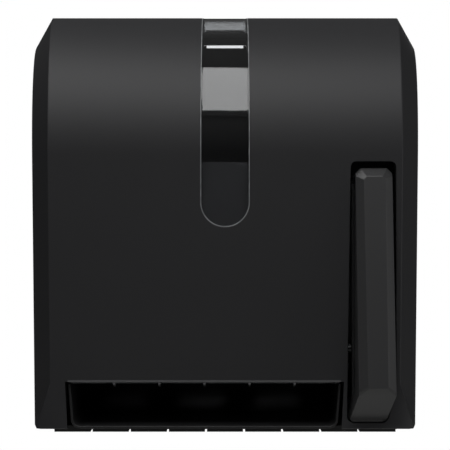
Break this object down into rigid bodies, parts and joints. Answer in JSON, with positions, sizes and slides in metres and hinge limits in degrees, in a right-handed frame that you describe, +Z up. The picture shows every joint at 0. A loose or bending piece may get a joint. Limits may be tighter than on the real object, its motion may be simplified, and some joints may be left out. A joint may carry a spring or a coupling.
{
  "type": "paddle roll towel dispenser",
  "caption": "Wall-mounted roll towel dispenser with a hinged curved cover, a clear sight window and a push paddle that drives a geared feed roller.",
  "frame": {"origin": "centre of the four wall screw holes, on the wall plane", "axes": "+Z up, +Y into the wall, +X to the right as seen from the front, which faces -Y"},
  "size_m": [0.3588, 0.265, 0.364],
  "materials": {
    "cover_plastic": "fine-textured moulded black plastic with a soft sheen",
    "chassis_plastic": "moulded black plastic",
    "inner_plastic": "dark moulded plastic",
    "paddle_plastic": "fine-textured moulded black plastic",
    "gear_plastic": "grey acetal",
    "clear_plastic": "clear smoked plastic, polished",
    "steel": "plain bright steel",
    "screw_steel": "zinc-plated screws",
    "spring_steel": "drawn spring wire",
    "grip_rubber": "soft grooved rubber"
  },
  "bodies": {
    "chassis": {"rear_chassis": "chassis_plastic", "left_side_plate": "inner_plastic", "right_side_plate": "inner_plastic", "bottom_tray": "chassis_plastic", "paper_scoop": "inner_plastic", "tear_bar": "steel", "tear_bar_carrier": "inner_plastic", "carrier_screws": "screw_steel", "cover_hinge_pins": "steel", "lock_strike": "steel", "shaft_bushes": "gear_plastic", "paddle_pivot_pin": "steel", "pivot_clip": "spring_steel", "pinch_pivot_rod": "steel", "arm_pins": "steel", "frame_screws": "screw_steel", "strike_screws": "screw_steel", "return_spring": "spring_steel", "pinch_springs": "spring_steel"},
    "cover": {"front_cover": "cover_plastic", "window": "clear_plastic"},
    "lock": {"lock_barrel": "steel", "lock_cam": "steel", "cam_screw": "screw_steel"},
    "paddle": {"push_paddle": "paddle_plastic", "sector_gear": "gear_plastic", "sector_screws": "screw_steel"},
    "feed": {"feed_shaft": "steel", "feed_roller": "inner_plastic", "grip_rings": "grip_rubber", "drive_pinion": "gear_plastic", "one_way_clutch": "steel", "feed_knob": "paddle_plastic"},
    "pinch_unit": {"pinch_frame": "inner_plastic", "pinch_axle": "steel"},
    "pinch_roll": {"pinch_rollers": "grip_rubber"},
    "left_arm": {"left_roll_arm": "inner_plastic"},
    "right_arm": {"right_roll_arm": "inner_plastic"},
    "left_hub": {"left_core_hub": "gear_plastic"},
    "right_hub": {"right_core_hub": "gear_plastic"}
  },
  "joints": [
    {"name": "cover_hinge", "type": "hinge", "parent": "chassis", "child": "cover", "pos_m": [0, -0.014, -0.196], "axis": [1, 0, 0], "range_deg": [0, 90]},
    {"name": "lock_turn", "type": "hinge", "parent": "cover", "child": "lock", "pos_m": [0.062, -0.034, 0.135], "axis": [0, 0, -1], "range_deg": [0, 90]},
    {"name": "paddle_push", "type": "hinge", "parent": "chassis", "child": "paddle", "pos_m": [0.124, -0.203, -0.004], "axis": [1, 0, 0], "range_deg": [0, 16], "stiffness_Nm_per_rad": 0.6, "springref_deg": -20.05, "deforming": ["return_spring"]},
    {"name": "feed_spin", "type": "hinge", "parent": "chassis", "child": "feed", "pos_m": [0, -0.158, -0.14709], "axis": [1, 0, 0], "range_deg": [-140, 5]},
    {"name": "pinch_lift", "type": "hinge", "parent": "chassis", "child": "pinch_unit", "pos_m": [0, -0.1126, -0.11509], "axis": [1, 0, 0], "range_deg": [0, 12], "stiffness_Nm_per_rad": 0.6, "springref_deg": -17.19, "deforming": ["pinch_springs"]},
    {"name": "pinch_spin", "type": "hinge", "parent": "pinch_unit", "child": "pinch_roll", "pos_m": [0, -0.1306, -0.14709], "axis": [1, 0, 0], "range_deg": [-5, 275]},
    {"name": "left_arm_spread", "type": "hinge", "parent": "chassis", "child": "left_arm", "pos_m": [-0.122, -0.012, 0.005], "axis": [0, 0, -1], "range_deg": [0, 12], "stiffness_Nm_per_rad": 1.2, "springref_deg": -8.59},
    {"name": "right_arm_spread", "type": "hinge", "parent": "chassis", "child": "right_arm", "pos_m": [0.088, -0.012, 0.005], "axis": [0, 0, 1], "range_deg": [0, 12], "stiffness_Nm_per_rad": 1.2, "springref_deg": -8.59},
    {"name": "left_hub_spin", "type": "hinge", "parent": "left_arm", "child": "left_hub", "pos_m": [-0.113, -0.114, 0.005], "axis": [1, 0, 0], "continuous": true},
    {"name": "right_hub_spin", "type": "hinge", "parent": "right_arm", "child": "right_hub", "pos_m": [0.079, -0.114, 0.005], "axis": [1, 0, 0], "continuous": true}
  ],
  "couplings": [
    {"joint": "feed_spin", "follows": "paddle_push", "ratio": -8.375},
    {"joint": "pinch_spin", "follows": "paddle_push", "ratio": 16.75}
  ]
}
